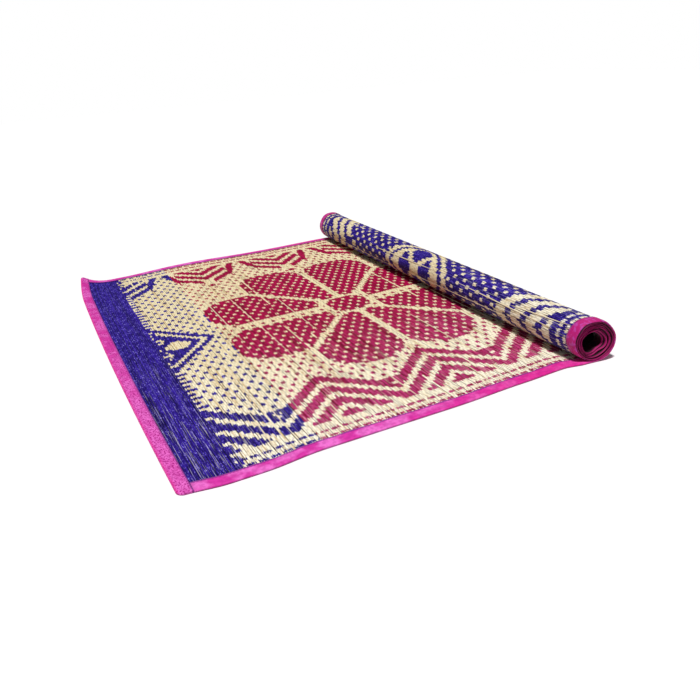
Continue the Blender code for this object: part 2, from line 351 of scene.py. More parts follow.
def feed(node, inputs):
    """Links or sets a node's inputs, given in order or by name, of the sockets that are in use."""
    used = [socket for socket in node.inputs if socket.enabled]
    names = [socket.name for socket in used]
    for key, value in inputs.items() if isinstance(inputs, dict) else enumerate(inputs):
        socket = used[names.index(key) if isinstance(key, str) else key]
        if isinstance(value, bpy.types.NodeSocket):
            node.id_data.links.new(value, socket)
        elif socket.type == "RGBA":
            socket.default_value = (*value, 1.0)
        else:
            socket.default_value = value


def add_node(tree, kind, inputs=(), **settings):
    """Adds a node with its settings and inputs, and returns its first output in use. The kind may leave
    out "ShaderNode", and may end in a dot and the node's operation."""
    kind, _, operation = kind.partition(".")
    node = tree.nodes.new(kind if "Node" in kind else "ShaderNode" + kind)
    if operation:
        node.operation = operation
    for name, value in settings.items():
        setattr(node, name, value)
    feed(node, inputs)
    return next(socket for socket in node.outputs if socket.enabled)


def new_tree(name, sockets):
    """A Geometry Nodes tree with its named inputs, and its output node."""
    tree = bpy.data.node_groups.new(name, "GeometryNodeTree")
    for label, kind in sockets:
        tree.interface.new_socket(label, in_out="INPUT", socket_type="NodeSocket" + kind)
    tree.interface.new_socket("Geometry", in_out="OUTPUT", socket_type="NodeSocketGeometry")
    given = tree.nodes.new("NodeGroupInput").outputs
    return tree, given, tree.nodes.new("NodeGroupOutput")


LAY_SOCKETS = (("Geometry", "Geometry"), ("Mat surface", "Object"), ("Reed pitch", "Float"),
               ("Warp pitch", "Float"), ("Float relief", "Float"), ("Gap depth", "Float"),
               ("Material", "Material"))


def lay_tree():
    """Lays flat geometry on the mat's surface, and presses its reeds down where they dive under a
    warp and between one another."""
    tree, given, result = new_tree("lay_on_mat", LAY_SOCKETS)
    add = partial(add_node, tree)
    surface = add("GeometryNodeObjectInfo", (given["Mat surface"],)).node.outputs["Geometry"]
    position = add("GeometryNodeInputPosition")
    x, y, z = add("SeparateXYZ", (position,)).node.outputs
    place = add("CombineXYZ", (x, y))
    flat = add("GeometryNodeInputNamedAttribute", ("flat",), data_type="FLOAT_VECTOR")
    facing = add("GeometryNodeInputNamedAttribute", ("facing",), data_type="FLOAT_VECTOR")
    press = add("GeometryNodeInputNamedAttribute", ("press",), data_type="FLOAT")
    on_surface = {"Mesh": surface, "UV Map": flat, "Sample UV": place}
    middle, facing, press = (
        add("GeometryNodeSampleUVSurface", {"Value": value, **on_surface}, data_type=kind)
        for value, kind in ((position, "FLOAT_VECTOR"), (facing, "FLOAT_VECTOR"), (press, "FLOAT")))

    # Half a turn for each reed and each warp, so that neighbours dive in turn
    reed_turn = add("Math.MULTIPLY", (add("Math.DIVIDE", (x, given["Reed pitch"])), math.pi))
    warp_turn = add("Math.MULTIPLY", (add("Math.DIVIDE", (y, given["Warp pitch"])), math.pi))
    over = add("Math.MULTIPLY", (add("Math.SINE", (reed_turn,)), add("Math.COSINE", (warp_turn,))))
    side = add("Math.SIGN", (z,))
    down = add("Math.MULTIPLY_ADD", (add("Math.MULTIPLY", (over, side)), -0.5, 0.5))
    dive = add("Math.MULTIPLY", (down, given["Float relief"]))
    between = add("Math.POWER", (add("Math.COSINE", (reed_turn,)), 2.0))
    dive = add("Math.MULTIPLY_ADD", (between, given["Gap depth"], dive))
    height = add("Math.SUBTRACT", (z, add("Math.MULTIPLY", (side, dive))))
    height = add("Math.MULTIPLY", (height, press))
    put = add("VectorMath.ADD", (middle, add("VectorMath.SCALE", (facing, height))))
    moved = add("GeometryNodeSetPosition", {"Geometry": given["Geometry"], "Position": put})
    whole = add("GeometryNodeRealizeInstances", (moved,))
    painted = add("GeometryNodeSetMaterial", {"Geometry": whole, "Material": given["Material"]})
    feed(result, (painted,))
    return tree


STITCH_SOCKETS = (("Geometry", "Geometry"), ("Mat surface", "Object"), ("Length", "Float"),
                  ("Width", "Float"), ("Height", "Float"), ("Unevenness", "Float"), ("Seed", "Int"),
                  ("Material", "Material"))


def stitch_tree():
    """A stitch at every point given, turned along its direction and laid on the mat."""
    tree, given, result = new_tree("stitch_rows", STITCH_SOCKETS)
    add = partial(add_node, tree)
    thread = add("GeometryNodeMeshUVSphere", {"Segments": 6, "Rings": 4, "Radius": 0.5})
    heading = add("GeometryNodeInputNamedAttribute", ("heading",), data_type="FLOAT")
    sway = add("FunctionNodeRandomValue", {"Min": -0.15, "Max": 0.15, "Seed": given["Seed"]})
    turned = add("CombineXYZ", {"Z": add("Math.ADD", (heading, sway))})
    most = add("Math.ADD", (1.0, given["Unevenness"]))
    least = add("Math.SUBTRACT", (1.0, given["Unevenness"]))
    growth = add("FunctionNodeRandomValue", {"Min": least, "Max": most, "Seed": given["Seed"]})
    length = add("Math.MULTIPLY", (given["Length"], growth))
    row = add("GeometryNodeInstanceOnPoints", {
        "Points": given["Geometry"], "Instance": thread,
        "Rotation": add("FunctionNodeEulerToRotation", (turned,)),
        "Scale": add("CombineXYZ", (length, given["Width"], given["Height"]))})
    laid = add("GeometryNodeGroup", {
        "Geometry": add("GeometryNodeRealizeInstances", (row,)), "Mat surface": given["Mat surface"],
        "Reed pitch": REED_PITCH, "Warp pitch": WARP_PITCH, "Material": given["Material"]},
        node_tree=shared("lay_on_mat", lay_tree))
    feed(result, (laid,))
    return tree


def shared(name, make):
    """The node tree or material of that name, made on its first use."""
    held = bpy.data.node_groups.get(name) or bpy.data.materials.get(name)
    return held or make()


def grown(name, source, tree, values):
    """The plain mesh that a tree makes of a source mesh, as a new object."""
    piece = add_object(name + "_flat", source)
    modifier = piece.modifiers.new("Lay", "NODES")
    modifier.node_group = tree
    sockets = {item.name: item.identifier for item in tree.interface.items_tree
               if item.in_out == "INPUT"}
    for label, value in values.items():
        modifier[sockets[label]] = value
    evaluated = piece.evaluated_get(bpy.context.evaluated_depsgraph_get())
    mesh = bpy.data.meshes.new_from_object(evaluated)
    mesh.name = name
    bpy.data.objects.remove(piece)
    return add_object(name, mesh)


def laid_piece(name, source, material, relief=0.0, gap=0.0):
    """A flat source mesh laid on the mat, shaded smooth."""
    sizes = bpy.context.scene.grass_mat_sizes
    values = {"Mat surface": bpy.data.objects["mat_surface"], "Reed pitch": sizes.reed_pitch,
              "Warp pitch": sizes.warp_pitch, "Float relief": relief, "Gap depth": gap,
              "Material": material}
    piece = grown(name, source, shared("lay_on_mat", lay_tree), values)
    piece.data.shade_smooth()
    return piece


def hand_over(piece, slot, *nodes):
    """The piece rides on the mat and stands for its CAD nodes, which it hides. The slot is not used."""
    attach(piece, "root")
    if nodes:
        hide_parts(*nodes)


# The woven pattern, as functions of place

def superellipse(x, y, half_x, half_y, power):
    """Less than 1 inside an oval, squarer the higher its power is."""
    return np.abs(x / half_x) ** power + np.abs(y / half_y) ** power


def dotted(reed, warp):
    """The small dots: two reeds wide and one warp tall, in staggered rows."""
    row = warp // 2
    return (warp % 2 == 0) & ((reed + (DOT_PERIOD // 2) * (row % 2)) % DOT_PERIOD < 2)


def petals(x, across, grow=0.0):
    """Eight petals in pairs along the mat's two directions, between the natural bands. The near
    ones are a little shorter."""
    out = np.abs(across)
    side = np.abs(x - FLOWER_X)
    spoke = (out - 0.002 - SPOKE_SLOPE * side) / SPOKE_SCALE

    def rounded(middle_side, middle_out, half_sizes):
        halves = [half + grow for half in half_sizes]
        return superellipse(side - middle_side, out - middle_out, *halves, PETAL_POWER) < 1.0

    low = (out > ALONG_BAND_HALF - grow) & (spoke < grow - SPOKE_HALF)
    low &= side > LOW_PETAL_START - grow
    low &= (side < LOW_PETAL[0]) & (out < LOW_PETAL_SIDE + grow) | rounded(*LOW_PETAL, LOW_PETAL_END)
    high = (side > ACROSS_BAND_HALF - grow) & (spoke > SPOKE_HALF - grow)
    high &= out > HIGH_PETAL_START - grow
    middle_out = np.where(across < 0.0, *HIGH_PETAL_OUT)
    high &= (out < middle_out) & (side < HIGH_PETAL_SIDE + grow) | \
        rounded(HIGH_PETAL, middle_out, HIGH_PETAL_END)
    ring = superellipse(side, out, *(half - grow for half in FLOWER_RING), RING_POWER) < 1.0
    middle = superellipse(side, out, *(half + grow for half in FLOWER_MIDDLE), RING_POWER) < 1.0
    return (low | high) & ~ring | middle


def zigzag(reed, warp, x, across, dyed):
    """The zigzag border: nested bands along a line with tips towards the centre. At the near side
    its valleys are filled, with a natural spot in each. At the far side they are steep arches, and
    a small block stands before each tip."""
    late = x + ZIGZAG_ROLL_SHIFT * ease(0.60, 0.72, x)
    off = np.abs(((late - ZIGZAG_START) / ZIGZAG_PERIOD + 0.5) % 1.0 - 0.5) * ZIGZAG_PERIOD
    out = np.abs(across)
    near = across < 0.0
    tip = np.where(near, ZIGZAG_TIP, ZIGZAG_TIP + FAR_TIP_OUT)
    deep = np.floor((out - tip - ZIGZAG_SLOPE * off) / WARP_PITCH)
    bands = deep % sum(ZIGZAG_BANDS) < ZIGZAG_BANDS[0]
    filled = near & (out > ZIGZAG_TIP + ZIGZAG_BLUNT)
    spot = near & (ZIGZAG_PERIOD / 2.0 - off < 0.005) & (deep == 0)
    shape = np.where(deep >= -1, bands & (deep >= 0), dyed)
    shape = np.where(filled & (deep < 0), True, shape) & ~spot

    arch = (out - tip - ARCH_FOOT) / ARCH_RISE + ARCH_HALF - off
    in_arch = ~near & (off > ARCH_HALF - 0.008)
    shape = np.where(in_arch & (arch > 0.0), arch < ARCH_BAND, shape)
    shape = np.where(in_arch & (arch <= 0.0), dyed, shape)
    shape &= near | (off > 0.012) | (deep > 2) | (deep < -1)
    shape |= ~near & (off < 0.006) & (out > BLOCK_OUT[0]) & (out < BLOCK_OUT[1])

    from_edge = np.minimum(warp, WARPS - warp)
    lines = np.isin(from_edge, LINE_WARPS) & ((reed + from_edge) % 5 != 4)
    return np.where(from_edge < BORDER_WARPS, LINE_STRENGTH * lines, shape)


def triangle_on_border(x, across, dyed):
    """A triangle on the violet border, with a natural diamond and four small spots in it."""
    off = np.abs(across)
    inside = TRIANGLE_TIP - TRIANGLE_SLOPE * off - x
    diamond = (np.abs(x - DIAMOND_X) + off < DIAMOND_HALF[0]) & (off < DIAMOND_HALF[1])
    spots = (np.abs(x - 0.085) + 0.5 * np.abs(off - 0.034) < 0.009)
    spots |= (np.abs(x - 0.0765) < 0.0035) & (np.minimum(off, np.abs(off - 0.062)) < 0.008)
    shape = (inside < TRIANGLE_RIM[0]) | (inside > TRIANGLE_RIM[1]) & ~diamond & ~spots
    return np.where((inside > 0.0) & (off < TRIANGLE_HALF), shape, dyed)


def medallion(x, across, dyed):
    """A ringed and pointed oval with four leaves, natural here and dyed where the roll shows it."""
    side = np.abs(x - MEDALLION_X)
    out = np.abs(across)
    ring = superellipse(side, out, *MEDALLION_HALF, MEDALLION_POWER) ** (1.0 / MEDALLION_POWER)
    cross = np.abs(side - LEAF_SLOPE * out) < LEAF_GAP_HALF
    leaves = (superellipse(side, out, *LEAF_HALF, 1.7) < 1.0) & ~cross & (side + out > 0.017)
    natural = (ring > MEDALLION_RING[0]) & (ring < MEDALLION_RING[1]) | leaves
    return np.where(ring < 1.0, ~natural, dyed)


def face_pattern(reed, warp):
    """Which cells are dyed on the mat's face, and which of those are maroon."""
    x = (reed + 0.5) * REED_PITCH
    half = MAT_LENGTH / 2.0
    mirrored = x > half + MIRROR_PAST
    x = np.where(mirrored, 2.0 * half - x, x)
    across = (warp - CENTRE_WARP) * WARP_PITCH
    dots = dotted(reed, warp)
    maroon = (x > VIOLET_END) & (x < MAROON_END)

    dyed = dots & ~petals(x, across, PETAL_RIM)
    dyed = np.where(petals(x, across), ~dots, dyed)

    dyed = zigzag(reed, warp, x, across, dyed)
    dyed = triangle_on_border(x, across + 0.006, dyed)
    dyed = medallion(x, across - 0.009, dyed)
    teeth = np.where(warp % 2 == 0, 2.5 * REED_PITCH, 0.0)
    return np.where(x < BORDER_END + teeth, True, dyed), maroon


def weave_values(reed, warp, under, seed):
    """Dyed share, maroon share and shade of the cells. On the underside the dye changes places."""
    reed, warp = np.broadcast_arrays(reed, warp)
    dyed, maroon = face_pattern(reed, warp)
    x = (reed + 0.5) * REED_PITCH
    border = x < BORDER_END
    dyed = dyed * 1.0
    if under:
        dyed = np.where(border, dyed, 1.0 - dyed)
    source = np.random.default_rng(seed)
    count = int(reed.max()) + 2
    # A few reeds missed the dye over a stretch of their length
    pale = source.random(count) < MISSED_SHARE
    start = source.integers(0, WARPS, count)
    length = source.integers(6, 34, count)
    shades = source.random((count, WARPS + 2))[reed, warp]
    shades = np.where(border & dotted(reed, warp), 1.0, shades)
    missed = pale[reed] & (warp >= start[reed]) & (warp < start[reed] + length[reed]) & (shades > 0.2)
    dyed = dyed * ~(missed & ~border)
    face = np.full(shades.shape, 0.0 if under else 1.0)
    return np.stack([dyed, maroon, shades, face], axis=-1).astype(np.float32)


def zip_edges(first, second):
    """Triangles between two chains of (point, place), each in order of place."""
    faces = []
    a, b = 0, 0
    while a < len(first) - 1 or b < len(second) - 1:
        if b == len(second) - 1 or (a < len(first) - 1 and first[a + 1][1] <= second[b + 1][1]):
            faces.append((first[a][0], second[b][0], first[a + 1][0]))
            a += 1
        else:
            faces.append((first[a][0], second[b][0], second[b + 1][0]))
            b += 1
    return faces


def corner_pull(inset):
    """How far the rounded corner draws the free end in, at a distance from a long edge."""
    short = np.maximum(0.0, CORNER_RADIUS - inset)
    return CORNER_RADIUS - np.sqrt(CORNER_RADIUS ** 2 - short ** 2)


def cloth_shell(name, face_columns, under_columns, warps, seed):
    """A flat closed sheet of cloth with its own columns on each side, and its pattern on it."""
    across = (warps - WARPS / 2) * WARP_PITCH
    limit = HALF_WIDTH - CLOTH_INSET
    across = np.clip(across, -limit, limit)
    rows = len(warps)
    points, faces, values = [], [], []
    start = 0
    half = PANEL_THICKNESS / 2.0
    for columns, height, under in ((face_columns, half, False), (under_columns, -half, True)):
        along, side = np.meshgrid(columns, across, indexing="ij")
        near_end = np.maximum(0.0, 1.0 - along / END_TAPE_WIDTH)
        along = along + corner_pull(HALF_WIDTH - np.abs(side)) * near_end
        points.append(np.stack([along, side, np.full(along.shape, height)], axis=-1).reshape(-1, 3))
        quads = grid_faces(len(columns), rows, start)
        reed = (((columns[:-1] + columns[1:]) / 2.0) // REED_PITCH).astype(int)[:, None]
        low = weave_values(reed, warps[None, :-1], under, seed).reshape(-1, 4)
        high = weave_values(reed, warps[None, 1:], under, seed).reshape(-1, 4)
        corners = [low, low, high, high]
        if under:
            quads = quads[:, ::-1]
            corners = corners[::-1]
        faces.append(quads)
        values.append(np.stack(corners, axis=1).reshape(-1, 4))
        start += len(columns) * rows
    points = np.concatenate(points)
    top, bottom = len(face_columns), len(under_columns)
    rims = []
    for row in (0, rows - 1):
        upper = [(column * rows + row, face_columns[column]) for column in range(top)]
        lower = [(top * rows + column * rows + row, under_columns[column]) for column in range(bottom)]
        found = zip_edges(upper, lower)
        rims += found if row == 0 else [face[::-1] for face in found]
    for column, first, second in ((0, 0, top * rows), (1, (top - 1) * rows, (top + bottom - 1) * rows)):
        for row in range(rows - 1):
            quad = (first + row, first + row + 1, second + row + 1, second + row)
            rims.append(quad if column == 0 else quad[::-1])
    whole = np.concatenate(faces).tolist() + [list(face) for face in rims]
    mesh = plain_mesh(name, points, whole)
    blank = np.tile([0.0, 0.0, 0.5, 1.0], (sum(len(face) for face in rims), 1))
    store(mesh, "weave", "FLOAT_COLOR", "CORNER", np.concatenate(values + [blank]))
    flat_uv(mesh)
    return mesh


def flat_uv(mesh):
    """Keeps each point's flat place as a UV map in metres, for the weave to follow."""
    places = np.empty(len(mesh.vertices) * 3, np.float32)
    mesh.vertices.foreach_get("co", places)
    corners = np.empty(len(mesh.loops), np.int32)
    mesh.loops.foreach_get("vertex_index", corners)
    layer = mesh.uv_layers.new(name="flat_place")
    layer.data.foreach_set("uv", places.reshape(-1, 3)[corners, :2].ravel())


# Materials

def new_material(name):
    """A material, its node tree and its shader node."""
    material = bpy.data.materials.new(name)
    material.use_nodes = True
    return material, material.node_tree, material.node_tree.nodes["Principled BSDF"]


def grain(tree, place, scales, detail=2.0, roughness=0.5):
    """Noise whose grains have the given sizes in millimetres along and across the mat."""
    scale = [1000.0 / size for size in scales] + [1.0]
    fitted = add_node(tree, "VectorMath.MULTIPLY", (place, scale))
    inputs = {"Vector": fitted, "Scale": 1.0, "Detail": detail, "Roughness": roughness}
    return add_node(tree, "TexNoise", inputs, noise_dimensions="2D")


# Settings of the nodes that the materials use most
EVEN = {"interpolation_type": "SMOOTHSTEP"}
COLOURS = {"data_type": "RGBA"}
DARKER = {"data_type": "RGBA", "blend_type": "MULTIPLY"}


def woven_sedge():
    """Dried and dyed korai sedge, split and woven by hand: matt straw with fibres along each reed,
    painted shade in the gaps between reeds and inside the roll, dye that took unevenly, painted
    highlights on violet floats and a few reeds, and painted light towards the near side."""
    material, tree, shader = new_material("handloomed_korai_sedge")
    add = partial(add_node, tree)
    colours = bpy.context.scene.grass_mat_colours
    place = add("UVMap", uv_map="flat_place")
    x, y, _ = add("SeparateXYZ", (place,)).node.outputs
    weave = add("Attribute", attribute_name="weave").node.outputs
    dye_share, maroon_share, shade = add("SeparateColor", (weave["Color"],)).node.outputs
    fibre = grain(tree, place, (0.9, 45.0), 3.0, 0.6)
    patch = grain(tree, place, (55.0, 80.0))
    # The dye runs a little past its reed, and further on the face
    edge = add("Math.MULTIPLY_ADD", (grain(tree, place, (1.7, 8.0)), 1.5, dye_share))
    edge = add("Math.MULTIPLY_ADD", (weave["Alpha"], 0.08, edge))
    dyed = add("MapRange", (edge, 1.19, 1.35), **EVEN)
    tone = add("Math.MULTIPLY_ADD", (grain(tree, place, (3.0, 400.0), 1.0), 0.9,
                                     add("Math.MULTIPLY", (fibre, 0.5))))
    tone = add("Math.MULTIPLY_ADD", (shade, 0.25, tone))
    # Painted light: a mask that paints the near side lighter, as if it were lit more brightly
    lit_near_side = add("MapRange", (add("Math.MULTIPLY_ADD", (patch, 0.12, y)), 0.08, -0.42), **EVEN)

    # Straw, painted lighter towards the near side as painted light, with browner reeds and fibres
    straw = add("Mix", (lit_near_side, colours.straw, colours.straw_lit_and_pale), **COLOURS)
    clear = add("MapRange", (tone, 0.45, 0.9), **EVEN)
    straw = add("Mix", (clear, colours.straw_dark, straw), **COLOURS)
    # Violet with lavender flecks: the border's woven dots, and painted highlights on the reeds' floats
    clear = add("MapRange", (tone, 0.65, 1.05), **EVEN)
    violet = add("Mix", (clear, colours.violet_deep, colours.violet), **COLOURS)
    fleck = add("Math.MULTIPLY_ADD", (shade, 0.16, grain(tree, place, (1.4, 5.0))))
    dot_and_glint = add("MapRange", (fleck, 0.7, 0.88), **EVEN)
    violet = add("Mix", (dot_and_glint, violet, colours.violet_dot_and_glint), **COLOURS)
    # Maroon, painted lighter towards the near side as painted light
    maroon = add("Mix", (lit_near_side, colours.maroon, colours.maroon_lit_near), **COLOURS)
    clear = add("MapRange", (tone, 0.6, 0.92), **EVEN)
    maroon = add("Mix", (clear, colours.maroon_deep, maroon), **COLOURS)
    dye = add("Mix", (maroon_share, violet, maroon), **COLOURS)
    colour = add("Mix", (dyed, straw, dye), **COLOURS)
    # Painted highlights: a few reeds at the near side are painted pale straw as glints
    painted_glint = add("MapRange", (grain(tree, place, (1.3, 70.0)), 0.6, 0.68, 0.0, 0.4), **EVEN)
    painted_glint = add("Math.MULTIPLY", (painted_glint, lit_near_side))
    colour = add("Mix", (painted_glint, colour, colours.straw_lit_and_pale), **COLOURS)

    # Shadow on a reed that lies under a warp, and between reeds, black where they stand apart
    turn = add("Math.SINE", (add("Math.MULTIPLY", (x, math.pi / REED_PITCH)),))
    crossing = add("Math.COSINE", (add("Math.MULTIPLY", (y, math.pi / WARP_PITCH)),))
    over = add("Math.MULTIPLY", (turn, crossing))
    side = add("Math.MULTIPLY_ADD", (weave["Alpha"], 2.0, -1.0))
    under = add("MapRange", (add("Math.MULTIPLY", (over, side)), 0.1, -0.9, 0.0, 0.22), **EVEN)
    shadow = add("Mix", (dyed, colours.gap_straw, colours.gap_dyed), **COLOURS)
    colour = add("Mix", (under, colour, shadow), **DARKER)
    reed = add("Math.FRACT", (add("Math.DIVIDE", (x, REED_PITCH)),))
    from_middle = add("Math.ABSOLUTE", (add("Math.MULTIPLY_ADD", (reed, 2.0, -1.0)),))
    apart = add("Math.MULTIPLY_ADD", (lit_near_side, 0.05, grain(tree, place, (2.6, 60.0))))
    apart = add("MapRange", (apart, 0.55, 0.64), **EVEN)
    width = add("Math.MULTIPLY_ADD", (apart, -0.45, 0.78))
    gap = add("MapRange", (from_middle, width, 1.0), **EVEN)
    gap_share = add("Math.MULTIPLY", (gap, add("Math.MULTIPLY_ADD", (apart, 0.55, 0.42))))
    colour = add("Mix", (gap_share, colour, shadow), **DARKER)
    # Little light comes between the turns inside the roll
    inside = add("MapRange", (x, OUTER_END, OUTER_END + 0.06), **EVEN)
    colour = add("Mix", (inside, colour, colours.roll_shade), **DARKER)

    height = add("Math.SUBTRACT", (add("Math.MULTIPLY", (fibre, 0.35)), gap))
    height = add("Math.MULTIPLY_ADD", (add("Math.ABSOLUTE", (over,)), 0.4, height))
    normal = add("Bump", {"Height": height, "Distance": 0.0004, "Strength": 0.8})
    feed(shader, {"Base Color": colour, "Roughness": 0.6, "Specular IOR Level": 0.12,
                  "Normal": normal})
    return material


def split_reed():
    """A dry undyed reed, split and frayed loose: pale straw with fibres along it."""
    material, tree, shader = new_material("dry_split_reed")
    colours = bpy.context.scene.grass_mat_colours
    fibre = grain(tree, add_node(tree, "UVMap", uv_map="flat_place"), (0.5, 20.0), 3.0)
    colour = add_node(tree, "Mix", (fibre, colours.straw_dark, colours.straw_lit_and_pale), **COLOURS)
    normal = add_node(tree, "Bump", {"Height": fibre, "Distance": 0.0002, "Strength": 0.6})
    feed(shader, {"Base Color": colour, "Roughness": 0.6, "Normal": normal})
    return material


def tape_cloth():
    """Cheap plain-woven polyester tape, folded and machine-sewn: bright magenta with a soft shine painted
    on as lighter patches, a purple sewn edge, puckers, a painted purple highlight on the roll, and
    painted shade: darker turns inside the roll, darkest between the crests of the folds."""
    material, tree, shader = new_material("polyester_binding_tape")
    add = partial(add_node, tree)
    colours = bpy.context.scene.grass_mat_colours
    place = add("UVMap", uv_map="flat_place")
    x, y, _ = add("SeparateXYZ", (place,)).node.outputs
    out = add("Math.ABSOLUTE", (y,))
    mottle = grain(tree, place, (7.0, 7.0), 3.0)
    # Painted highlights: broad patches painted in the light tape colour where the tape would shine
    shine = add("MapRange", (grain(tree, place, (30.0, 24.0)), 0.38, 0.62), **EVEN)
    hot = add("MapRange", (x, 0.2, 0.55, 0.0, 0.7), **EVEN)
    # The free end's tape is paler towards the near side, with a hot outer edge
    at_end = add("MapRange", (x, END_TAPE_WIDTH + 0.0002, END_TAPE_WIDTH + 0.0001), **EVEN)
    paler = add("Math.MULTIPLY", (at_end, add("MapRange", (y, 0.2, -0.4, 0.0, 0.7), **EVEN)))
    outer_edge = add("MapRange", (x, 0.0045, 0.0005, 0.0, 0.55), **EVEN)
    # Darker flecks: many on the free end's tape, softer ones on the others
    fleck = add("MapRange", (grain(tree, place, (2.4, 2.4), 1.0), 0.5, 0.62), **EVEN)
    fleck = add("Math.MULTIPLY", (fleck, at_end))
    soft = add("MapRange", (mottle, 0.62, 0.38, 0.0, 0.35), **EVEN)
    fleck = add("Math.MAXIMUM", (fleck, soft))
    # Purple along the sewn edge
    end_inner = END_TAPE_WIDTH - 0.0020
    side_inner = HALF_WIDTH - SIDE_TAPE_WIDTH + 0.0032
    end_seam = add("MapRange", (x, end_inner, end_inner + 0.0013, 0.0, 0.75), **EVEN)
    side_seam = add("MapRange", (out, side_inner, side_inner - 0.0016, 0.0, 0.75), **EVEN)
    end_seam = add("Math.MULTIPLY", (end_seam, at_end))
    side_seam = add("Math.MULTIPLY", (side_seam, add("Math.SUBTRACT", (1.0, at_end))))
    seam = add("Math.MAXIMUM", (end_seam, side_seam))
    # Deeper on the roll, with a painted purple highlight on it; inside it painted shade: darker turns,
    # with painted shadow between the crests of the folds
    on_roll = add("MapRange", (x, ROLL_START, ROLL_START + 0.06), **EVEN)
    sheen = add("MapRange", (mottle, 0.5, 0.64, 0.0, 0.5), **EVEN)
    uneven = add("Math.MULTIPLY_ADD", (grain(tree, place, (190.0, 60.0), 3.0), 0.006, out))
    crest = add("MapRange", (uneven, HALF_WIDTH, HALF_WIDTH + 0.003), **EVEN)
    fold = add("Mix", (crest, colours.tape_shadow, colours.tape_shaded_inside), **COLOURS)
    inside = add("MapRange", (x, OUTER_END - 0.02, OUTER_END + 0.03), **EVEN)

    layers = ((shine, colours.tape_light), (hot, colours.tape_hot), (paler, colours.tape_light),
              (fleck, colours.tape_deep), (outer_edge, colours.tape_hot), (seam, colours.thread),
              (add("Math.MULTIPLY", (on_roll, 0.8)), colours.tape_roll),
              (add("Math.MULTIPLY", (sheen, on_roll)), colours.tape_sheen), (inside, fold))
    colour = colours.tape
    for share, laid in layers:
        colour = add("Mix", (share, colour, laid), **COLOURS)

    wefts, warps = (add("Math.SINE", (add("Math.MULTIPLY", (way, math.tau / TAPE_THREAD)),))
                    for way in (x, y))
    threads = add("Math.MULTIPLY", (wefts, warps))
    height = add("Math.MULTIPLY_ADD", (threads, 0.2, mottle))
    normal = add("Bump", {"Height": height, "Distance": 0.0006, "Strength": 0.5})
    feed(shader, {"Base Color": colour, "Roughness": 0.5, "Specular IOR Level": 0.2,
                  "Sheen Weight": 0.08, "Normal": normal})
    return material


def sewing_thread():
    """Dyed cotton sewing thread, a little darker than the tape."""
    material, tree, shader = new_material("cotton_sewing_thread")
    colours = bpy.context.scene.grass_mat_colours
    twist = grain(tree, add_node(tree, "TexCoord").node.outputs["Object"], (0.5, 2.0))
    colour = add_node(tree, "Mix", (twist, colours.thread, colours.tape_deep), **COLOURS)
    normal = add_node(tree, "Bump", {"Height": twist, "Distance": 0.0002, "Strength": 0.5})
    feed(shader, {"Base Color": colour, "Roughness": 0.7, "Normal": normal})
    return material


# What a user would change

class GrassMatSizes(bpy.types.PropertyGroup):
    """Sizes of the weave and the sewing."""
    reed_pitch: FloatProperty(name="Reed pitch", description="Distance from reed to reed, along the mat",
                              default=REED_PITCH, unit="LENGTH")
    warp_pitch: FloatProperty(name="Warp pitch", description="Distance from warp to warp, across the mat",
                              default=WARP_PITCH, unit="LENGTH")
    float_relief: FloatProperty(name="Float relief", description="How deep a reed dives under a warp",
                                default=0.00045, unit="LENGTH")
    gap_depth: FloatProperty(name="Gap depth", description="How deep the gaps between reeds are",
                             default=0.00035, unit="LENGTH")
    stitch_length: FloatProperty(name="Stitch length", description="Length of a sewing stitch",
                                 default=0.0030, unit="LENGTH")
    stitch_pitch: FloatProperty(name="Stitch pitch", description="Distance from stitch to stitch",
                                default=0.0042, unit="LENGTH")
    seed: IntProperty(name="Seed", description="Chooses the reeds' shades and the missed dye", default=7)


def colour_property(name, description, code):
    """A colour that a user may change, given as its sRGB hex value."""
    return FloatVectorProperty(name=name, description=description, subtype="COLOR", size=3,
                               min=0.0, max=1.0, default=hex_colour(code))


class GrassMatColours(bpy.types.PropertyGroup):
    """Colours of the reeds, the tape and the sewing thread."""
    straw: colour_property("Straw", "Undyed reed", "#f0e2ba")
    # Painted light: undyed reed painted lighter at the near side, and the glints; also the pale end of a
    # loose reed's fibres
    straw_lit_and_pale: colour_property("Light straw", "Undyed reed at the near side", "#fff8e2")
    straw_dark: colour_property("Dark straw", "Browner undyed reed", "#d6b884")
    violet: colour_property("Violet", "Violet dye", "#341c9a")
    violet_deep: colour_property("Deep violet", "Violet dye at its darkest", "#1e0c66")
    # Lavender for the border's woven dots and for painted highlights on the violet floats
    violet_dot_and_glint: colour_property("Worn violet", "Violet dye where it took thinly", "#9488e4")
    maroon: colour_property("Maroon", "Maroon dye", "#ae0048")
    # Painted light: maroon painted lighter at the near side
    maroon_lit_near: colour_property("Light maroon", "Maroon dye at the near side", "#c43e7c")
    maroon_deep: colour_property("Deep maroon", "Maroon dye at its darkest", "#84002e")
    gap_straw: colour_property("Straw gap", "Shadow between undyed reeds", "#4a3014")
    gap_dyed: colour_property("Dyed gap", "Shadow between dyed reeds", "#201028")
    roll_shade: colour_property("Roll shade", "Darkness inside the roll", "#3c2c30")
    tape: colour_property("Tape", "Binding tape", "#da30a6")
    tape_light: colour_property("Light tape", "Binding tape where it shines", "#f070d0")
    tape_deep: colour_property("Deep tape", "Binding tape in its folds", "#aa1080")
    tape_hot: colour_property("Hot tape", "Binding tape towards the roll", "#e01488")
    tape_roll: colour_property("Roll tape", "Binding tape on the roll's outside", "#b40a6c")
    tape_sheen: colour_property("Tape sheen", "Purple shine of the tape on the roll", "#c058c4")
    # Painted shade: the tape's colour on the turns inside the roll, where little light comes
    tape_shaded_inside: colour_property("Tape inside", "Binding tape on the turns inside the roll", "#a80c64")
    tape_shadow: colour_property("Tape shadow", "Between the folds inside the roll", "#2c0014")
    thread: colour_property("Thread", "Sewing thread", "#8a2c9a")


